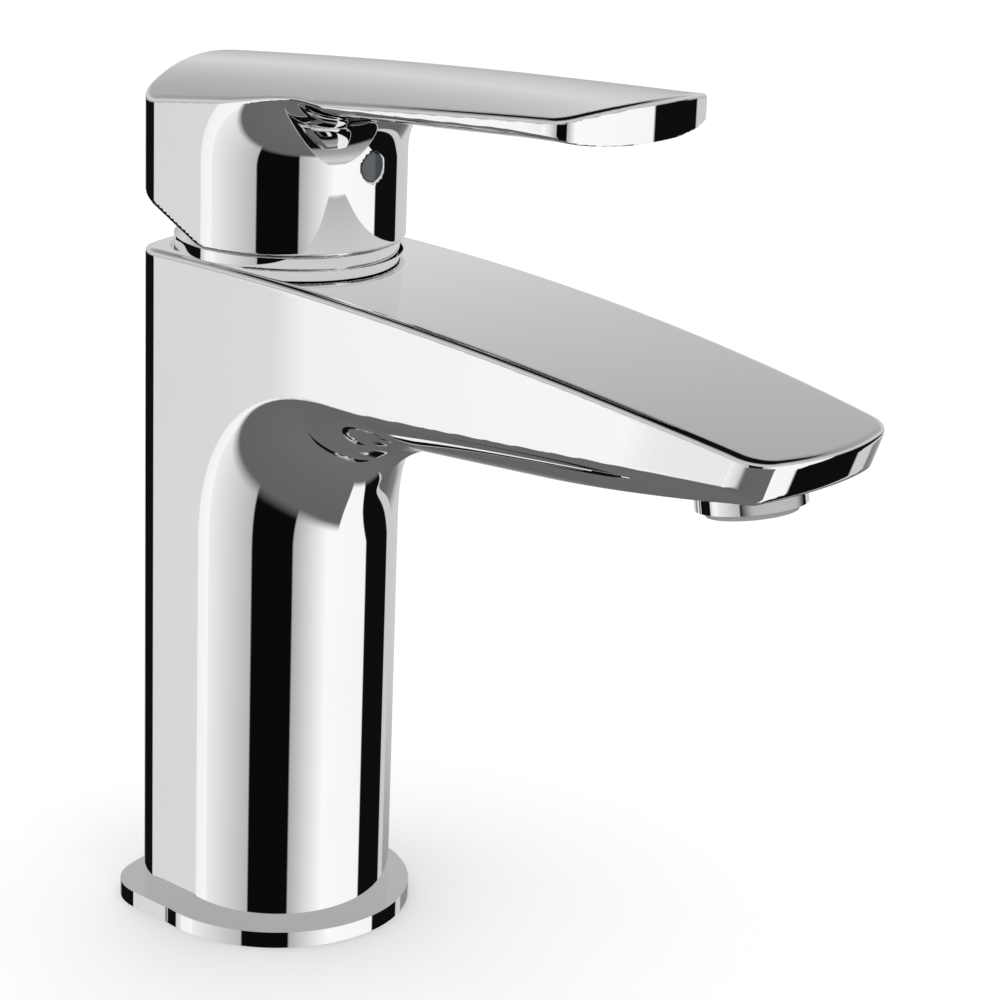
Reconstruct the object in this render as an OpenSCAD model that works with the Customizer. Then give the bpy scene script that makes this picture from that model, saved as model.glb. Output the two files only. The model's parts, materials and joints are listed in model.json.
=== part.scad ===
// Single-lever bathroom basin mixer.
// The origin is on the vertical axis of the cartridge, at the basin's deck.
// +Z is up, the spout points along -Y, and the hot side is -X.

/* [Column and spout] */
// Half the width of the column, and the radius of its round front
half_w = 23.2; // [22.5:0.1:24]
// Distance from the axis to the middle of the column's rear face
rear_y = 22.4; // [21:0.1:25]
// Radius of the two upright rear corners
rear_corner_r = 7; // [5:0.5:9]
// Radius of the slightly bowed rear face
rear_bow_r = 60; // [50:1:100]
// Height of the highest point of the top surface
top_z = 139; // [138.5:0.1:140]
// Radius of the long arch of the top surface, seen from the side
top_arch_r = 780; // [600:10:1200]
// Distance in front of the axis of the arch's highest point
top_arch_y = 8; // [0:1:20]
// Height at which the round front starts to curve into the spout
arc_z = 83; // [80:0.5:86]
// Radius of the hollow curve between column and spout
arc_r = 24; // [20:0.5:28]
// Rise of the spout's underside towards the tip, in degrees
under_rise = 4; // [2:0.5:6]
// Depth of the rounded underside of the spout
under_depth = 11.5; // [10:0.5:14]
// Distance from the axis to the middle of the spout's tip
spout_reach = 136.5; // [130:0.5:142]
// Radius of the gentle curve of the spout's sides in plan
side_arc_r = 1512; // [1200:1:2000]
// Corner radius of the spout's tip in plan
tip_corner_r = 6; // [4:0.5:8]
// Backward lean of the tip's face, in degrees
tip_lean = 20; // [0:1:30]

/* [Base] */
// Thickness of the plate under the column
plate_t = 3.4; // [3:0.1:5]
// How far the plate stands out from the column's sides and front
plate_out = 4.3; // [3:0.1:6]

/* [Aerator] */
// Distance from the axis to the aerator
outlet_y = 117; // [112:0.5:119]
// Height of the flat that the aerator screws into
outlet_z = 118; // [117.5:0.1:119]
// Forward tilt of the aerator, in degrees
outlet_tilt = 11; // [6:1:12]
// Radius of the aerator's visible ring
aerator_r = 10; // [9:0.1:10.5]

/* [Lever] */
// Height of the underside of the lever's hub
hub_z = 141.4; // [141:0.1:142.5]
// Distance from the axis to the tip of the lever
lever_reach = 93.5; // [85:0.5:96]
// Radius of the bow of the lever's tip in plan
lever_bow_r = 45; // [35:1:150]
// Corner radius of the lever's tip in plan
lever_corner_r = 5; // [3:0.5:6]
// Radius of the hollow curve between hub and blade
blade_arc_r = 11; // [9:0.5:14]
// Height at which the hub's front starts to curve into the blade
blade_arc_z = 159; // [157:0.5:161]
// Height of the lever's upper edge at the rear
lever_rear_z = 167.9; // [167:0.1:169]
// Height of the crown of the lever's top at the rear, above its edges
rear_crown = 6.4; // [6:0.1:7]
// Thickness of the blade's rounded underside
blade_depth = 3.6; // [3.2:0.1:4.5]
// Lift of the lever at full flow, in degrees
lift_max = 25; // [20:1:25]

/* [Cartridge] */
// Height of the floor of the cartridge seat
seat_z = 100; // [99:0.5:101]
// Radius of the cartridge housing
cartridge_r = 17.5; // [17:0.1:17.6]
// Height of the pin that the lever tilts on
pivot_z = 128; // [127.5:0.1:128.5]
// Height of the ball that pushes the disc carrier
ball_z = 114.5; // [114.2:0.1:114.8]

/* [Hidden] */
$fn = 96;
chrome = [0.80, 0.81, 0.82];
satin = [0.62, 0.62, 0.64];
brass = [0.78, 0.62, 0.32];
steel = [0.55, 0.56, 0.58];
ceramic = [0.93, 0.92, 0.88];
white_plastic = [0.90, 0.90, 0.88];
grey_plastic = [0.45, 0.46, 0.47];
black_rubber = [0.06, 0.06, 0.06];
side_start = -20;
tip_bow_r = 110;
lever_side_r = 774;
hub_hollow_r = 26;
dome_r = 25.7;
dome_t = 3;
collar_r = 22.1;
recess_r = 22.6;
collar_z = 137;
stem_r = 4;
port_x = 7.6;
inlet_y = -5;
outlet_port_y = 5.5;
plug_z = 158;
plug_r = 2.7;

function ease(k) = k * k * (3 - 2 * k);
function mix(a, b, k) = a + (b - a) * k;
function sgn_pow(v, e) = sign(v) * pow(abs(v), e);
// Half width of the spout or the blade at a distance y along it
function half_at(y, r) = y < side_start ? half_w - pow(side_start - y, 2) / (2 * r) : half_w;

// Stations along the front and underside: [y, z, turn angle, share of the turn, share of the run]
function stations(z0, z1, r, rise, reach, arc_n, run_n) = let(
    yc = -half_w - r,
    turn = 90 - rise,
    y1 = yc + r * cos(turn),
    z_end = z1 + r * sin(turn),
    run = reach + y1)
  concat(
    [[-half_w, z0, 0, 0, 0]],
    [for (i = [0 : arc_n]) let(t = turn * i / arc_n)
      [yc + r * cos(t), z1 + r * sin(t), t, i / arc_n, 0]],
    [for (i = [1 : run_n]) let(q = i / run_n)
      [y1 - run * q, z_end + run * q * tan(rise), turn, 1, q]]);

// One closed section of the swept front: the rounded nose, then a box that reaches past the rear and top
function section(s, depth, power, side_r, n) = let(
    cy = cos(s[2]),
    cz = sin(s[2]),
    dy = s[0] + depth * cy,
    dz = s[1] + depth * cz,
    w = half_at(dy, side_r) + 0.06,
    o = 130)
  concat(
    [for (i = [0 : n]) let(
        f = 180 * i / n,
        e = 2 / power,
        u = pow(sin(f), e))
      [-w * sgn_pow(cos(f), e), mix(dy, s[0], u), mix(dz, s[1], u)]],
    [[w + 9, dy, dz], [w + 9, dy + o * cy, dz + o * cz],
     [-w - 9, dy + o * cy, dz + o * cz], [-w - 9, dy, dz]]);

// A point well inside a section, that sees the whole of its outline
function middle(r) = let(m = len(r)) (r[0] + r[m - 5] + r[m - 3] + r[m - 2]) / 4;

// Closed surface through a list of sections with equal point counts
module skin(rows) {
  m = len(rows[0]);
  n = len(rows);
  points = concat([for (r = rows) each r], [middle(rows[0]), middle(rows[n - 1])]);
  sides = [for (i = [0 : n - 2]) for (j = [0 : m - 1]) let(
      a = i * m + j, b = i * m + (j + 1) % m,
      c = (i + 1) * m + (j + 1) % m, d = (i + 1) * m + j)
    each [[a, c, b], [a, d, c]]];
  ends = [for (j = [0 : m - 1]) let(k = (j + 1) % m, a = (n - 1) * m)
    each [[j, k, n * m], [a + k, a + j, n * m + 1]]];
  polyhedron(points = points, faces = concat(sides, ends), convexity = 6);
}

// How far out the two corner radii of a rounded end are centred
function corner_y(a, end, corner, bow) =
  end - bow + sqrt(pow(bow - corner, 2) - pow(a - corner, 2));

// Rounded end of a plan: flat sides, two corner radii and a bowed face at y = end
module round_end(a, end, corner, bow) {
  cx = a - corner;
  cy = corner_y(a, end, corner, bow);
  tx = cx + corner * cx / (bow - corner);
  translate([-a, cy - 10]) square([2 * a, 10]);
  for (s = [-1, 1]) translate([s * cx, cy]) circle(r = corner);
  intersection() {
    translate([0, end - bow]) circle(r = bow, $fn = 720);
    translate([-tx, cy - 1]) square([2 * tx, 40]);
  }
}

// Plan outline: bowed rear, straight sides, sides that draw in gently, and a rounded tip
module plan(side_r, reach, corner, bow) {
  a = half_at(-reach + corner, side_r);
  cy = corner_y(a, reach, corner, bow);
  round_end(half_w, rear_y, rear_corner_r, rear_bow_r);
  translate([-half_w, side_start]) square([2 * half_w, 25]);
  intersection() {
    translate([side_r - half_w, side_start]) circle(r = side_r, $fn = 720);
    translate([half_w - side_r, side_start]) circle(r = side_r, $fn = 720);
    translate([-half_w, -cy]) square([2 * half_w, cy + side_start]);
  }
  mirror([0, 1]) round_end(a - 0.02, reach, corner, bow);
}

// Side view of everything below the arched top surface, its arch in short straight steps
module under_arch() polygon(concat(
  [[35, 1], [-150, 1]],
  [for (i = [0 : 40]) let(y = -150 + 185 * i / 40)
    [y, top_z - top_arch_r + sqrt(pow(top_arch_r, 2) - pow(y + top_arch_y, 2))]]));

// Outside of the column and spout as one casting
module body_shape() {
  st = stations(plate_t, arc_z, arc_r, under_rise, 152, 14, 5);
  rows = [for (s = st) section(s,
      mix(half_w, under_depth, pow(ease(s[3]), 2)),
      mix(2, 1.45, ease(min(1, 1.6 * s[3]))), side_arc_r, 28)];
  intersection() {
    skin(rows);
    translate([0, -spout_reach, 129.4]) rotate([tip_lean, 0, 0])
      translate([0, tip_bow_r, -200]) cylinder(r = tip_bow_r, h = 400, $fn = 720);
    difference() {
      intersection() {
        linear_extrude(height = 150)
          plan(side_arc_r, spout_reach + 1, tip_corner_r, tip_bow_r);
        translate([-40, 0, 0]) rotate([90, 0, 90]) linear_extrude(height = 80) under_arch();
      }
      translate([0, -outlet_y, outlet_z]) rotate([-outlet_tilt, 0, 0])
        translate([-40, -60, -40]) cube([80, 105, 40]);
    }
  }
}

// Straight round passage between two points in the plane x = 0
module passage(y1, z1, y2, z2, r) {
  run = sqrt(pow(y2 - y1, 2) + pow(z2 - z1, 2));
  translate([0, y1, z1]) rotate([90 - atan2(z2 - z1, y1 - y2), 0, 0])
    cylinder(r = r, h = run, $fn = 48);
}

// Column and spout casting with the cartridge seat, waterways and hose space
module body() color(chrome) difference() {
  body_shape();
  // space for the hoses, open at the bottom
  translate([0, 0, -1]) cylinder(r = 18.4, h = 73);
  // tapped holes for the two hoses and the fixing stud
  for (s = [-1, 1]) {
    translate([s * port_x, inlet_y, 71]) cylinder(r = 4.5, h = 15, $fn = 48);
    translate([s * port_x, inlet_y, 85]) cylinder(r = 3, h = 16, $fn = 48);
  }
  translate([0, 12, 71]) cylinder(r = 3.4, h = 15, $fn = 48);
  // cartridge seat, nut thread and collar recess
  translate([0, 0, seat_z]) cylinder(r = cartridge_r + 0.3, h = 60);
  translate([0, 0, 124]) cylinder(r = 19.6, h = 30);
  translate([0, 0, collar_z]) cylinder(r = recess_r, h = 10);
  // outlet well, cross channel, riser and the passage to the aerator
  translate([0, outlet_port_y, 89]) cylinder(r = 3.5, h = 12, $fn = 48);
  translate([0, outlet_port_y, 92.5]) rotate([90, 0, 0])
    cylinder(r = 3, h = outlet_port_y + 17.2, $fn = 48);
  translate([0, -17.2, 88]) cylinder(r = 3.7, h = 31, $fn = 48);
  passage(-15, 115, -outlet_y, 124.6, 4.2);
  aerator_place() translate([0, 0, -1]) cylinder(r = 8.7, h = 10);
}

// Plate between the column and the basin
module base_ring() color(chrome) difference() {
  linear_extrude(height = plate_t) {
    round_end(half_w + plate_out, rear_y + plate_out + 0.6, 11, 70);
    circle(r = half_w + plate_out);
  }
  translate([0, 0, -1]) cylinder(r = 18.4, h = 10);
  translate([0, 0, -1]) cylinder(r = 24.4, h = 2.6);
}

// Sealing ring in the recess under the plate
module base_seal() color(black_rubber) difference() {
  cylinder(r = 24.3, h = 1.6);
  translate([0, 0, -1]) cylinder(r = 19.4, h = 4);
}

// The three water ports of the cartridge: hot, cold and outlet
module ports(z, h, r) {
  for (s = [-1, 1]) translate([s * port_x, inlet_y, z]) cylinder(r = r, h = h, $fn = 48);
  translate([0, outlet_port_y, z]) cylinder(r = r, h = h, $fn = 48);
}

// Bottom of the cartridge with its three ports
module cartridge_base() color(white_plastic) difference() {
  translate([0, 0, seat_z]) cylinder(r = cartridge_r, h = 3);
  ports(seat_z - 1, 6, 3);
  ports(seat_z - 1, 2.2, 4);
}

// Sealing rings of the three ports
module port_seal() color(black_rubber) difference() {
  ports(seat_z, 1.2, 4);
  ports(seat_z - 1, 4, 3);
}

// Cup that holds the discs and guides the rotor
module cartridge_housing() color(white_plastic) difference() {
  union() {
    translate([0, 0, seat_z + 3]) cylinder(r = cartridge_r, h = 21);
    translate([0, 0, 123]) cylinder(r = 14.6, h = 8);
  }
  translate([0, 0, seat_z + 2]) cylinder(r = 16.2, h = 12.8);
  translate([0, 0, seat_z + 10]) cylinder(r = 12.58, h = 30);
  translate([0, 0, 119]) rotate_extrude() translate([16.4, -1.2]) square([4, 2.4]);
}

// Sealing ring around the housing
module housing_seal() color(black_rubber) translate([0, 0, 119]) rotate_extrude()
  translate([16.4, -1.2]) square([1.35, 2.4]);

// Fixed ceramic disc with the three ports
module fixed_disc() color(ceramic) difference() {
  translate([0, 0, seat_z + 3]) cylinder(r = 16.1, h = 4.5);
  ports(seat_z, 20, 3);
}

// Moving ceramic disc with the mixing hollow in its lower face
module moving_disc() color([0.86, 0.85, 0.82]) difference() {
  translate([0, 0, seat_z + 7.55]) cylinder(r = 10.2, h = 4);
  translate([0, 3, seat_z + 7]) cylinder(r = 6, h = 2.6);
}

// Plastic carrier that pushes the moving disc
module disc_carrier() color(grey_plastic) difference() {
  union() {
    translate([0, 0, seat_z + 11.55]) cylinder(r = 10.2, h = 3);
    translate([-4.2, -4, seat_z + 14]) cube([8.4, 8, 3]);
  }
  translate([0, 0, seat_z + 11.6]) cylinder(r = 2.95, h = 10, $fn = 48);
}

// Part that turns with the lever and carries the pin
module rotor() color(grey_plastic) difference() {
  union() {
    translate([0, 0, 114.9]) cylinder(r = 12.5, h = 17.6);
    translate([0, 0, 131.3]) cylinder(r = 14.2, h = 2.4);
  }
  translate([-4.4, -9.9, 110]) cube([8.8, 18.6, 40]);
  translate([-20, 0, pivot_z]) rotate([0, 90, 0]) cylinder(r = 1.5, h = 40, $fn = 48);
}

// Pin across the rotor
module pivot_pin() color(steel) translate([-12, 0, pivot_z]) rotate([0, 90, 0])
  cylinder(r = 1.5, h = 24, $fn = 48);

// Lever stem: ball end, neck, pin eye and shank
module spindle() color(brass) difference() {
  union() {
    translate([0, 0, ball_z]) sphere(r = 2.85, $fn = 48);
    translate([0, 0, ball_z]) cylinder(r = 1.8, h = 8, $fn = 48);
    translate([0, 0, 120]) cylinder(r = stem_r, h = 41);
  }
  translate([-20, 0, pivot_z]) rotate([0, 90, 0]) cylinder(r = 1.55, h = 40, $fn = 48);
  translate([-6, -10 - stem_r + 0.8, plug_z - 4]) cube([12, 10, 8]);
}

// Threaded ring that holds the cartridge down
module clamp_nut() color(brass) difference() {
  translate([0, 0, 124.05]) cylinder(r = 19.55, h = 12.9);
  translate([0, 0, 120]) cylinder(r = 14.8, h = 30);
}

// Domed collar that the lever's hub moves over
module collar() color(chrome) difference() {
  intersection() {
    translate([0, 0, pivot_z]) sphere(r = dome_r);
    translate([0, 0, collar_z]) cylinder(r = collar_r, h = 20);
  }
  translate([0, 0, pivot_z]) sphere(r = dome_r - dome_t);
  translate([0, 0, 130]) cylinder(r = 14.6, h = 30);
}

// Height of the lever's upper edge, and how far the middle of its top stands above it
function edge_z(y) = lever_rear_z + 0.148 * (16 - y) - 0.00035 * pow(16 - y, 2);
function crown_at(y) = rear_crown - 0.045 * (12 - y);

// Everything below the lever's crowned top
module under_crown() {
  w = half_w + 0.5;
  skin([for (i = [0 : 9]) let(y = 30 - 14.5 * i) concat(
    [for (j = [0 : 16]) let(x = w * (1 - j / 8))
      [x, y, edge_z(y) + crown_at(y) * (1 - pow(x / half_at(y, lever_side_r), 2))]],
    [[-w, y, 120], [w, y, 120]])]);
}

// Outside of the lever: hub and blade
module lever_shape() {
  st = stations(hub_z, blade_arc_z, blade_arc_r, 3.9, 100, 10, 8);
  rows = [for (s = st) let(tip = max(0, (-s[0] - 76) / 12))
    section(s,
      mix(half_w, blade_depth, ease(s[3])) - 0.8 * min(1, tip),
      2, lever_side_r, 28)];
  difference() {
    intersection() {
      skin(rows);
      translate([0, 0, 100]) linear_extrude(height = 100)
        plan(lever_side_r, lever_reach, lever_corner_r, lever_bow_r);
      under_crown();
    }
    // slope under the rear, level with the body's top when the lever is up
    translate([-40, 0.5, hub_z]) rotate([lift_max, 0, 0])
      translate([0, 0, -30]) cube([80, 60, 30]);
  }
}

// Lever: hub and blade in one, hollow over the collar
module lever() color(chrome) difference() {
  lever_shape();
  translate([0, 0, pivot_z]) sphere(r = hub_hollow_r);
  translate([0, 0, 145]) cylinder(r = stem_r + 0.05, h = 16.5, $fn = 48);
  translate([0, -2, plug_z]) rotate([90, 0, 0]) cylinder(r = 2.5, h = 30, $fn = 48);
  translate([0, -half_w + 3, plug_z]) rotate([90, 0, 0]) cylinder(r = plug_r, h = 8, $fn = 48);
}

// Screw that clamps the lever to the stem
module grub_screw() color(steel) difference() {
  translate([0, -3.3, plug_z]) rotate([90, 0, 0]) cylinder(r = 2.5, h = 8, $fn = 48);
  translate([0, -7.3, plug_z]) rotate([90, 0, 0]) cylinder(r = 1.4, h = 8, $fn = 6);
}

// Plain plug over the screw's hole
module index_plug() color([0.30, 0.32, 0.36]) intersection() {
  translate([0, -half_w + 3, plug_z]) rotate([90, 0, 0]) cylinder(r = plug_r, h = 6, $fn = 48);
  translate([0, 0, plug_z - 5]) cylinder(r = half_w - 0.1, h = 10);
}

// Places something at the outlet, its z = 0 on the flat and +Z into the spout
module aerator_place() {
  translate([0, -outlet_y, outlet_z]) rotate([-outlet_tilt, 0, 0]) children();
}

// Chromed ring that screws into the spout
module aerator_housing() color(chrome) aerator_place() difference() {
  union() {
    translate([0, 0, -3.7]) cylinder(r = aerator_r, h = 3.7);
    translate([0, 0, -0.1]) cylinder(r = 8.6, h = 5.6);
  }
  translate([0, 0, -10]) cylinder(r = 7.4, h = 30);
  translate([0, 0, -10]) cylinder(r = 9.3, h = 7.6);
}

// Washer between the ring and the spout
module aerator_seal() color(black_rubber) aerator_place() difference() {
  translate([0, 0, 6.8]) cylinder(r = 8.6, h = 1.8);
  cylinder(r = 6, h = 20);
}

// Insert that mixes air into the water, with rows of small holes in its face
module aerator_insert() color(grey_plastic) aerator_place() difference() {
  union() {
    translate([0, 0, -4.9]) cylinder(r1 = 8.2, r2 = 9.2, h = 2.4);
    translate([0, 0, -2.6]) cylinder(r = 7.35, h = 8.6);
  }
  translate([0, 0, -3.4]) cylinder(r = 5.8, h = 20);
  for (ring = [[1, 0], [6, 2.1], [12, 4.2]], i = [0 : ring[0] - 1])
    rotate([0, 0, i * 360 / ring[0]]) translate([ring[1], 0, -6])
      cylinder(r = 0.6, h = 4, $fn = 16);
}

// Round sieve on top of the insert
module aerator_sieve() color(satin) aerator_place() difference() {
  translate([0, 0, 6.02]) cylinder(r = 7.3, h = 0.7);
  for (ring = [[1, 0], [6, 2.1], [12, 4.2]], i = [0 : ring[0] - 1])
    rotate([0, 0, i * 360 / ring[0]]) translate([ring[1], 0, 5])
      cylinder(r = 0.6, h = 4, $fn = 16);
}

body();
base_ring();
base_seal();
cartridge_base();
port_seal();
cartridge_housing();
housing_seal();
fixed_disc();
moving_disc();
disc_carrier();
rotor();
pivot_pin();
spindle();
clamp_nut();
collar();
lever();
grub_screw();
index_plug();
aerator_housing();
aerator_seal();
aerator_insert();
aerator_sieve();
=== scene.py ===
"""Chrome single-lever basin mixer on a pale floor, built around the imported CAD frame."""
import json
import math

import bpy
import numpy as np
from mathutils import Matrix, Vector


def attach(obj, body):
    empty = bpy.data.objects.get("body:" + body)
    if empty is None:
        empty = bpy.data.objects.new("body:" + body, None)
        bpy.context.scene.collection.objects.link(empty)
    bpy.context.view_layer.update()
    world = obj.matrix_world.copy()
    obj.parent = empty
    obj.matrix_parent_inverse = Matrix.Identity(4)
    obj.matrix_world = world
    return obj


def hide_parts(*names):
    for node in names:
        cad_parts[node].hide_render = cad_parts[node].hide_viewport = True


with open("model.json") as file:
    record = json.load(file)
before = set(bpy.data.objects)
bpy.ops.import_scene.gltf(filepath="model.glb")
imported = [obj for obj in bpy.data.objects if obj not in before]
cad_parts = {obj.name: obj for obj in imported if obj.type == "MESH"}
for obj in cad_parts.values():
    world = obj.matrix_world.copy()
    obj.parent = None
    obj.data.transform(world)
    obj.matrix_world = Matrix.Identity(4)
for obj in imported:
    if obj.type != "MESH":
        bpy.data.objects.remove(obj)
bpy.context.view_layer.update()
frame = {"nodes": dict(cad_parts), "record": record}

MM = 0.001

# ---------------------------------------------------------------- shared shape sizes, in mm
HALF_W = 23.2          # half the column's width
REAR_Y = 22.4          # middle of the rear face
REAR_CORNER = 7.0      # radius of the rear corners
REAR_BOW = 60.0        # radius of the rear face, seen from above
SIDE_START = -20.0     # in front of this the sides draw in
PLATE_TOP = 3.4        # top of the base ring
SEAT_Z = 100.0         # floor the cartridge stands on
PIVOT_Z = 128.0        # the lever tilts about this height
HUB_SPHERE = 26.0      # hollow under the hub, centred on the pivot
TAPER = 0.09           # how fast the sides close in beside a tip


def ease(k):
    return k * k * (3 - 2 * k)


def mix(a, b, k):
    return a + (b - a) * k


def soft_max(a, b, k):
    """The larger of two fields, with the edge where they meet rounded over about k."""
    h = np.maximum(k - np.abs(a - b), 0) / k
    return np.maximum(a, b) + h * h * k * 0.25


def half_at(y, side_r):
    """Half width of the spout or the blade at y."""
    ahead = np.maximum(SIDE_START - y, 0)
    return HALF_W - ahead * ahead / (2 * side_r)


def corner_y(half, corner, bow):
    """Where the corner arcs of a rounded end are centred, measured from its middle."""
    return -bow + math.sqrt((bow - corner) ** 2 - (half - corner) ** 2)


def rounded_end(x, e, half, corner, bow, taper):
    """Distance outside a bowed end with two corner arcs; e grows outwards and is 0 at its middle."""
    cx, cy = half - corner, corner_y(half, corner, bow)
    ax = np.abs(x)
    at_corner = np.hypot(ax - cx, e - cy) - corner
    at_bow = np.hypot(x, e + bow) - bow
    in_wedge = ax * (cy + bow) > cx * (e + bow)
    behind = ax - half - (cy - e) * taper
    return np.where(e > cy, np.where(in_wedge, at_corner, at_bow), behind)


def swept_front(x, y, z, arc_z, arc_r, turn, depth, power, side_r, tip_y):
    """Distance outside a front that runs up the column and turns forward under the spout or blade."""
    w = half_at(np.maximum(y, tip_y), side_r)
    yc = -HALF_W - arc_r
    t = np.clip(np.arctan2(z - arc_z, y - yc), 0, turn)
    inward = (y - yc) * np.cos(t) + (z - arc_z) * np.sin(t) - arc_r
    d = depth(t / turn, y)
    q = np.maximum(d - inward, 0) / d
    n = power(t / turn)
    return (((np.abs(x) / w) ** n + q ** n) ** (1 / n) - 1) * w


def with_rear(x, y, front):
    """The front's field, and behind the rear corners' centres the bowed rear."""
    rear = rounded_end(x, y - REAR_Y, HALF_W, REAR_CORNER, REAR_BOW, 0)
    start = REAR_Y + corner_y(HALF_W, REAR_CORNER, REAR_BOW)
    return np.where(y > start, rear, front)


# ---------------------------------------------------------------- column and spout
BODY_ARC_Z, BODY_ARC_R, BODY_TURN = 83.0, 24.0, math.radians(86)
BODY_SIDE_R = 1512.0
TOP_Z, TOP_Y, TOP_R = 139.0, -8.0, 780.0
TIP_Y, TIP_Z, TIP_LEAN = -136.5, 129.4, math.radians(20)
TIP_CORNER, TIP_BOW = 6.5, 55.0
OUTLET_Y, OUTLET_Z, OUTLET_TILT = -117.0, 118.0, math.radians(11)
MOUTH_R, MOUTH_FLOOR, MOUTH_HALF = 22.6, 137.0, 20.0    # recess that the collar sits in
CARTRIDGE_R = 17.8
NUT_R, NUT_FLOOR = 19.6, 124.0
HOSE_R, HOSE_TOP = 18.4, 72.0
AERATOR_R, AERATOR_DEPTH = 8.7, 9.0


def body_field(x, y, z):
    tip_start = TIP_Y + 6.5
    front = swept_front(x, y, z, BODY_ARC_Z, BODY_ARC_R, BODY_TURN,
                        lambda k, _: mix(HALF_W, 11.5, ease(k) ** 2),
                        lambda k: mix(2.0, 1.45, ease(np.minimum(1, 1.6 * k))),
                        BODY_SIDE_R, tip_start)
    f = with_rear(x, y, front)
    past_rim = -(y - TIP_Y) * math.cos(TIP_LEAN) - (z - TIP_Z) * math.sin(TIP_LEAN)
    tip = rounded_end(x, past_rim, float(half_at(tip_start, BODY_SIDE_R)), TIP_CORNER, TIP_BOW, TAPER)
    f = np.where(y < -100, soft_max(f, tip, 0.5), f)
    flat = -(y - OUTLET_Y) * math.sin(OUTLET_TILT) - (z - OUTLET_Z) * math.cos(OUTLET_TILT)
    f = np.where(y < -46, soft_max(f, flat, 1.0), f)
    top = z - (TOP_Z - (y - TOP_Y) ** 2 / (2 * TOP_R))
    f = soft_max(f, top, 1.5)
    rho = np.hypot(x, y)
    mouth = np.maximum(np.maximum(rho - MOUTH_R, MOUTH_FLOOR - z), np.abs(x) - MOUTH_HALF)
    f = soft_max(f, -mouth, 0.5)
    f = np.maximum(f, -np.maximum(rho - CARTRIDGE_R, SEAT_Z - z))
    f = np.maximum(f, -np.maximum(rho - NUT_R, NUT_FLOOR - z))
    f = np.maximum(f, -np.maximum(rho - HOSE_R, z - HOSE_TOP))
    up = (y - OUTLET_Y) * math.sin(OUTLET_TILT) + (z - OUTLET_Z) * math.cos(OUTLET_TILT)
    out = (y - OUTLET_Y) * math.cos(OUTLET_TILT) - (z - OUTLET_Z) * math.sin(OUTLET_TILT)
    f = np.maximum(f, -np.maximum(np.hypot(x, out) - AERATOR_R, up - AERATOR_DEPTH))
    return np.maximum(f, PLATE_TOP - 0.5 - z)


# ---------------------------------------------------------------- lever
HUB_Z = 141.4
LEVER_ARC_Z, LEVER_ARC_R, LEVER_TURN = 159.0, 11.0, math.radians(86.1)
LEVER_SIDE_R, LEVER_TIP = 774.0, -92.0
LEVER_CORNER, LEVER_BOW = 5.0, 45.0
LIFT = math.radians(25)
PLUG_Z, PLUG_R, PLUG_FLOOR = 158.0, 2.7, -20.2


def lever_field(x, y, z):
    tip_start = LEVER_TIP + 7.5
    front = swept_front(x, y, z, LEVER_ARC_Z, LEVER_ARC_R, LEVER_TURN,
                        lambda k, yy: mix(HALF_W, 3.6, ease(k)) - 0.8 * np.clip((-yy - 76) / 12, 0, 1),
                        lambda k: 2.0 + 0 * k,
                        LEVER_SIDE_R, tip_start)
    f = with_rear(x, y, front)
    tip = rounded_end(x, LEVER_TIP - y, float(half_at(tip_start, LEVER_SIDE_R)),
                      LEVER_CORNER, LEVER_BOW, TAPER)
    f = np.where(y < -60, soft_max(f, tip, 0.4), f)
    s = 16 - y
    w = half_at(np.maximum(y, tip_start), LEVER_SIDE_R)
    edge = 167.9 + 0.148 * s - 0.00035 * s * s
    crown = 6.4 - 0.045 * (12 - y)
    top = z - edge - crown * (1 - (x / w) ** 2)
    f = soft_max(f, top * 0.95, 0.9)
    slope = (y - 0.5) * math.sin(LIFT) - (z - HUB_Z) * math.cos(LIFT)
    f = soft_max(f, soft_max(HUB_Z - z, slope, 0.8), 0.9)
    dome = HUB_SPHERE - np.sqrt(x * x + y * y + (z - PIVOT_Z) ** 2)
    f = soft_max(f, dome, 0.3)
    plug_hole = np.maximum(np.hypot(x, z - PLUG_Z) - PLUG_R, y - PLUG_FLOOR)
    return soft_max(f, -plug_hole, 0.5)


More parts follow.
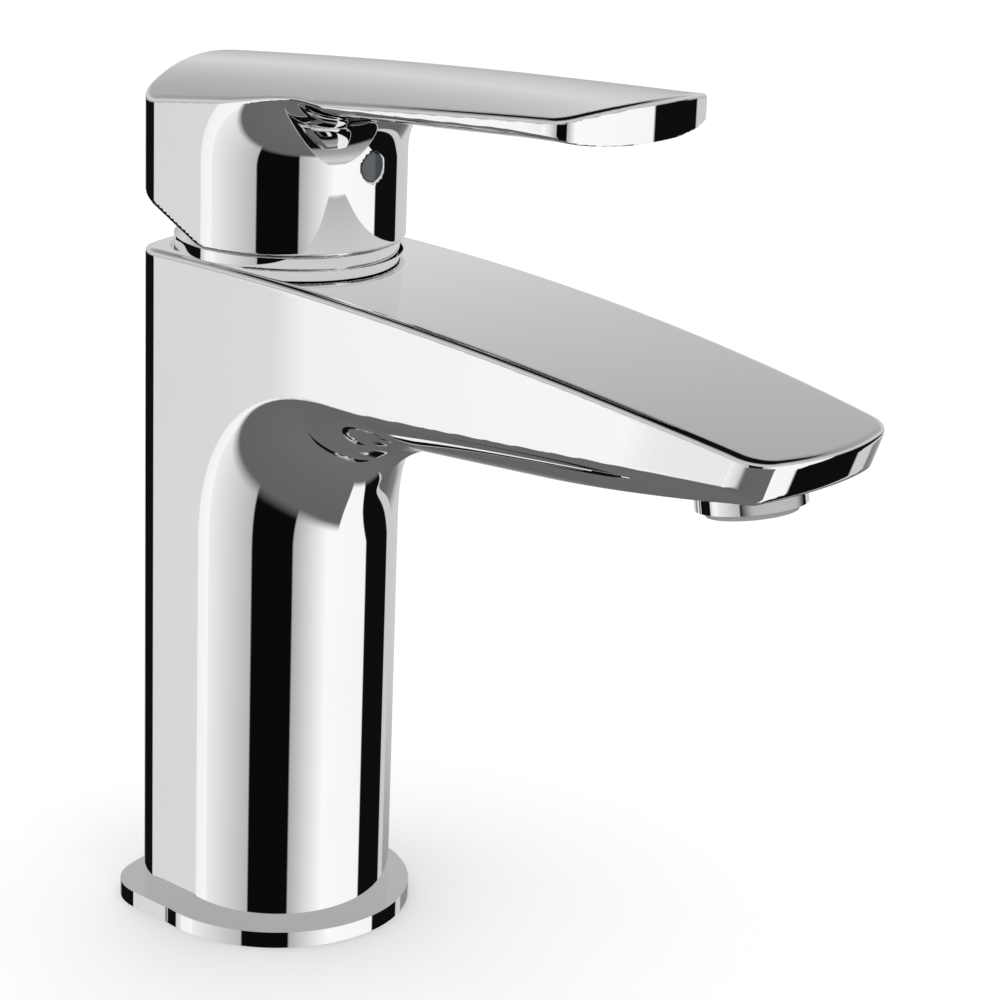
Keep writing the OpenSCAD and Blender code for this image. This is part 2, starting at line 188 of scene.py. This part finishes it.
# ---------------------------------------------------------------- mesh from a field
def grid_mesh(name, field, low, high, step):
    """A smooth closed mesh of the surface where the field is zero, with the field's own normals."""
    axes = [np.arange(a, b + step, step) for a, b in zip(low, high)]
    value = field(*np.meshgrid(*axes, indexing="ij", sparse=False))
    inside = value < 0
    n = [len(a) - 1 for a in axes]
    offsets = np.array([(i, j, k) for i in (0, 1) for j in (0, 1) for k in (0, 1)])

    def corner(array, o):
        return array[o[0]:n[0] + o[0], o[1]:n[1] + o[1], o[2]:n[2] + o[2]]

    count = sum(corner(inside, o).astype(np.int8) for o in offsets)
    mixed = (count > 0) & (count < 8)
    cells = np.argwhere(mixed)
    index = np.full(mixed.shape, -1, dtype=np.int64)
    index[mixed] = np.arange(len(cells))
    at = np.stack([corner(value, o)[mixed] for o in offsets], axis=1)
    total = np.zeros((len(cells), 3))
    hits = np.zeros((len(cells), 1))
    for a in range(8):
        for b in range(a + 1, 8):
            if np.abs(offsets[a] - offsets[b]).sum() != 1:
                continue
            cross = (at[:, a] < 0) != (at[:, b] < 0)
            t = np.where(cross, at[:, a] / np.where(cross, at[:, a] - at[:, b], 1), 0)[:, None]
            total += cross[:, None] * (offsets[a] + t * (offsets[b] - offsets[a]))
            hits += cross[:, None]
    points = np.array(low) + step * (cells + total / hits)

    def slope(p, e):
        g = np.empty_like(p)
        for axis in range(3):
            d = np.zeros(3)
            d[axis] = e
            g[:, axis] = (field(*(p + d).T) - field(*(p - d).T)) / (2 * e)
        return g

    for _ in range(6):
        g = slope(points, 0.02)
        move = field(*points.T)[:, None] * g / np.maximum((g * g).sum(1, keepdims=True), 0.05)
        points -= np.clip(move, -0.4 * step, 0.4 * step)
    normals = slope(points, 0.08)
    normals /= np.maximum(np.linalg.norm(normals, axis=1, keepdims=True), 1e-9)

    quads = []
    for axis in range(3):
        b, c = (axis + 1) % 3, (axis + 2) % 3
        low_cut = [slice(None)] * 3
        high_cut = [slice(None)] * 3
        low_cut[axis], high_cut[axis] = slice(0, -1), slice(1, None)
        change = inside[tuple(low_cut)] != inside[tuple(high_cut)]
        where = np.argwhere(change)
        where = where[(where[:, b] > 0) & (where[:, c] > 0) & (where[:, b] < n[b]) & (where[:, c] < n[c])]
        ring = []
        for db, dc in ((-1, -1), (0, -1), (0, 0), (-1, 0)):
            o = np.zeros(3, dtype=int)
            o[b], o[c] = db, dc
            ring.append(index[tuple((where + o).T)])
        ring = np.stack(ring, axis=1)
        flip = ~inside[tuple(where.T)]
        ring[flip] = ring[flip][:, ::-1]
        quads.append(ring)
    quads = np.concatenate(quads)
    mesh = bpy.data.meshes.new(name)
    mesh.from_pydata((points * MM).tolist(), [], quads.tolist())
    mesh.polygons.foreach_set("use_smooth", np.ones(len(quads), dtype=bool))
    mesh.normals_split_custom_set_from_vertices(normals.tolist())
    obj = bpy.data.objects.new(name, mesh)
    bpy.context.collection.objects.link(obj)
    return obj


# ---------------------------------------------------------------- materials
def surface(name, colour, rough, metallic=0.0, scale=60.0, tint=0.04, rough_spread=0.3, bump=0.0,
            stretch=(1, 1, 1), ior=1.5, coat=0.0):
    """A procedural finish: noise varies its colour and gloss, and bump gives it a fine grain."""
    mat = bpy.data.materials.new(name)
    mat.use_nodes = True
    nodes, links = mat.node_tree.nodes, mat.node_tree.links
    shader = nodes["Principled BSDF"]
    shader.inputs["Metallic"].default_value = metallic
    shader.inputs["IOR"].default_value = ior
    shader.inputs["Coat Weight"].default_value = coat
    coord = nodes.new("ShaderNodeTexCoord")
    mapping = nodes.new("ShaderNodeMapping")
    mapping.inputs["Scale"].default_value = stretch
    noise = nodes.new("ShaderNodeTexNoise")
    noise.inputs["Scale"].default_value = scale
    noise.inputs["Detail"].default_value = 4
    links.new(coord.outputs["Object"], mapping.inputs["Vector"])
    links.new(mapping.outputs["Vector"], noise.inputs["Vector"])
    ramp = nodes.new("ShaderNodeValToRGB")
    low = [c * (1 - tint) for c in colour] + [1]
    high = [min(1, c * (1 + tint)) for c in colour] + [1]
    ramp.color_ramp.elements[0].color = low
    ramp.color_ramp.elements[1].color = high
    ramp.color_ramp.elements[0].position = 0.3
    ramp.color_ramp.elements[1].position = 0.7
    links.new(noise.outputs["Fac"], ramp.inputs["Fac"])
    links.new(ramp.outputs["Color"], shader.inputs["Base Color"])
    spread = nodes.new("ShaderNodeMapRange")
    spread.inputs["To Min"].default_value = rough * (1 - rough_spread)
    spread.inputs["To Max"].default_value = rough * (1 + rough_spread)
    links.new(noise.outputs["Fac"], spread.inputs["Value"])
    links.new(spread.outputs["Result"], shader.inputs["Roughness"])
    if bump:
        grain = nodes.new("ShaderNodeBump")
        grain.inputs["Strength"].default_value = bump
        grain.inputs["Distance"].default_value = 0.0002
        links.new(noise.outputs["Fac"], grain.inputs["Height"])
        links.new(grain.outputs["Normal"], shader.inputs["Normal"])
    return mat


CHROME = surface("polished_chrome", (0.93, 0.935, 0.94), 0.02, metallic=1.0, scale=25, tint=0.01)
FINISH = {
    "chrome_body": CHROME,
    "chrome_lever": CHROME,
    "rubber": surface("black_rubber", (0.02, 0.02, 0.02), 0.7, scale=400, tint=0.2, bump=0.2),
    "white_plastic": surface("white_plastic", (0.85, 0.85, 0.82), 0.4, scale=200, bump=0.05),
    "grey_plastic": surface("grey_plastic", (0.30, 0.31, 0.32), 0.45, scale=250, tint=0.08, bump=0.1),
    "ceramic": surface("ground_ceramic", (0.88, 0.86, 0.80), 0.25, scale=300, tint=0.03),
    "steel": surface("turned_steel", (0.58, 0.58, 0.60), 0.3, metallic=1.0, scale=120,
                     stretch=(1, 1, 20), bump=0.1),
    "brass": surface("machined_brass", (0.80, 0.60, 0.28), 0.28, metallic=1.0, scale=120,
                     stretch=(1, 1, 15), bump=0.1),
    "plug": surface("glossy_plug", (0.10, 0.11, 0.13), 0.12, scale=90, tint=0.1, coat=0.3),
}
slots = {s["node"]: s["material_slot"] for s in frame["record"]["subparts"]}


def dress(obj, slot_name):
    obj.data.materials.clear()
    obj.data.materials.append(FINISH[slot_name])
    for polygon in obj.data.polygons:
        polygon.material_index = 0


for name, obj in frame["nodes"].items():
    dress(obj, slots[name])

# ---------------------------------------------------------------- fine meshes of the two big castings
STEP = 0.5
body = grid_mesh("chrome_column_and_spout", body_field, (-24.6, -140.1, 1.65), (24.6, 25.1, 141.1), STEP)
lever = grid_mesh("chrome_lever", lever_field, (-24.6, -96.1, 139.65), (24.6, 25.1, 184.1), STEP)
for piece, node, group in ((body, "body", "mixer"), (lever, "lever", "handle")):
    dress(piece, slots[node])
    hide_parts(node)
    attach(piece, group)

# ---------------------------------------------------------------- floor and light
bpy.ops.mesh.primitive_plane_add(size=12, location=(0, 0, 0))
floor = bpy.context.object
floor.name = "floor"
floor.data.materials.append(surface("pale_floor", (0.96, 0.96, 0.96), 0.6, scale=3, tint=0.005))
floor.visible_glossy = False

CAMERA_AZIMUTH = 47.98     # degrees from the front towards the hot side


def grey(level):
    """Linear value of a display level from 0 to 255."""
    v = level / 255
    return v / 12.92 if v <= 0.04045 else ((v + 0.055) / 1.055) ** 2.4


# Studio panels all round, as turns from the camera's side: (start in degrees, level at start, level at end)
PANELS = [
    (-180, 205, 205), (-152, 16, 16), (-93.5, 216, 222), (-88, 246, 252), (-74, 240, 185), (-26, 10, 10),
    (15, 175, 255), (50, 255, 250), (96, 14, 14), (133, 205, 205)]
SEAM = 0.15                # half the blur between two panels, in degrees
# Table below and ceiling above: (degrees above the horizon, level)
SURROUND = [(-90, 110), (-34, 100), (0, 190), (14, 215), (29, 168), (40, 150), (44, 15), (90, 15)]


def studio_world():
    world = bpy.data.worlds.new("studio")
    bpy.context.scene.world = world
    world.use_nodes = True
    nodes, links = world.node_tree.nodes, world.node_tree.links
    nodes.clear()

    def math_node(kind, a, b=None):
        node = nodes.new("ShaderNodeMath")
        node.operation = kind
        for socket, v in zip(node.inputs, (a, b)):
            if v is None:
                continue
            if isinstance(v, (int, float)):
                socket.default_value = v
            else:
                links.new(v, socket)
        return node.outputs[0]

    coord = nodes.new("ShaderNodeTexCoord")
    spin = nodes.new("ShaderNodeMapping")
    spin.vector_type = "POINT"
    spin.inputs["Rotation"].default_value = (0, 0, math.radians(CAMERA_AZIMUTH + 90))
    links.new(coord.outputs["Generated"], spin.inputs["Vector"])
    xyz = nodes.new("ShaderNodeSeparateXYZ")
    links.new(spin.outputs["Vector"], xyz.inputs["Vector"])

    def ramp(value, low, high, stops):
        """A ramp of (place, grey from 0 to 1) over a value that runs from low to high."""
        node = nodes.new("ShaderNodeValToRGB")
        fac = math_node("DIVIDE", math_node("SUBTRACT", value, low), high - low)
        links.new(fac, node.inputs["Fac"])
        elements = node.color_ramp.elements
        elements.remove(elements[0])
        for i, (place, v) in enumerate(stops):
            share = (place - low) / (high - low)
            e = elements[0] if i == 0 else elements.new(share)
            e.position = share
            e.color = (v, v, v, 1)
        return node.outputs["Color"]

    turn = math_node("MULTIPLY", math_node("ARCTAN2", xyz.outputs["Y"], xyz.outputs["X"]), 180 / math.pi)
    tilt = math_node("MULTIPLY", math_node("ARCSINE", xyz.outputs["Z"]), 180 / math.pi)
    ends = [start for start, _, _ in PANELS[1:]] + [180]
    stops = []
    for (start, a, b), end in zip(PANELS, ends):
        stops += [(start + SEAM, grey(a)), (end - SEAM, grey(b))]
    panels = ramp(turn, -180, 180, stops)
    # the panels end above the table, and reach lower in front of the spout
    drop = ramp(turn, -180, 180, [(-180, 0), (-155, 0), (-145, 0.2), (62, 0.2), (70, 1), (136, 1),
                                  (144, 0)])
    low_edge = math_node("ADD", tilt, math_node("MULTIPLY", drop, 40))
    over_table = ramp(low_edge, -90, 130, [(-26, 0), (-21, 1)])
    under_ceiling = ramp(tilt, -90, 90, [(-8, 1), (-4, 0)])
    rest = ramp(tilt, -90, 90, [(place, grey(v)) for place, v in SURROUND])
    blend = nodes.new("ShaderNodeMixRGB")
    links.new(math_node("MULTIPLY", over_table, under_ceiling), blend.inputs["Fac"])
    links.new(rest, blend.inputs["Color1"])
    links.new(panels, blend.inputs["Color2"])
    # the backdrop and the light on the floor are plain white
    path = nodes.new("ShaderNodeLightPath")
    plain = math_node("MAXIMUM", path.outputs["Is Camera Ray"], path.outputs["Is Diffuse Ray"])
    final = nodes.new("ShaderNodeMixRGB")
    links.new(plain, final.inputs["Fac"])
    links.new(blend.outputs["Color"], final.inputs["Color1"])
    final.inputs["Color2"].default_value = (1.35, 1.35, 1.35, 1)
    background = nodes.new("ShaderNodeBackground")
    links.new(final.outputs["Color"], background.inputs["Color"])
    background.inputs["Strength"].default_value = 1.02
    out = nodes.new("ShaderNodeOutputWorld")
    links.new(background.outputs["Background"], out.inputs["Surface"])


studio_world()
bpy.context.scene.view_settings.view_transform = "Standard"

# ---------------------------------------------------------------- camera
ELEVATION, ROLL = 17.97, 2.26
DISTANCE, ASIDE, LOOK_Z = 608.35, 43.67, 87.86
azimuth, elevation, roll = (math.radians(v) for v in (CAMERA_AZIMUTH, ELEVATION, ROLL))
back = Vector((-math.sin(azimuth) * math.cos(elevation), -math.cos(azimuth) * math.cos(elevation),
               math.sin(elevation)))
right = Vector((math.cos(azimuth), -math.sin(azimuth), 0))
up = back.cross(right)
turned_right = right * math.cos(roll) + up * math.sin(roll)
turned_up = up * math.cos(roll) - right * math.sin(roll)
place = (back * DISTANCE + right * ASIDE + Vector((0, 0, LOOK_Z))) * MM
camera_data = bpy.data.cameras.new("camera")
camera_data.lens, camera_data.sensor_width = 108.8, 36
camera_data.clip_start = 0.01
camera = bpy.data.objects.new("camera", camera_data)
bpy.context.collection.objects.link(camera)
camera.matrix_world = Matrix((
    (turned_right.x, turned_up.x, back.x, place.x),
    (turned_right.y, turned_up.y, back.y, place.y),
    (turned_right.z, turned_up.z, back.z, place.z),
    (0, 0, 0, 1)))
bpy.context.scene.camera = camera
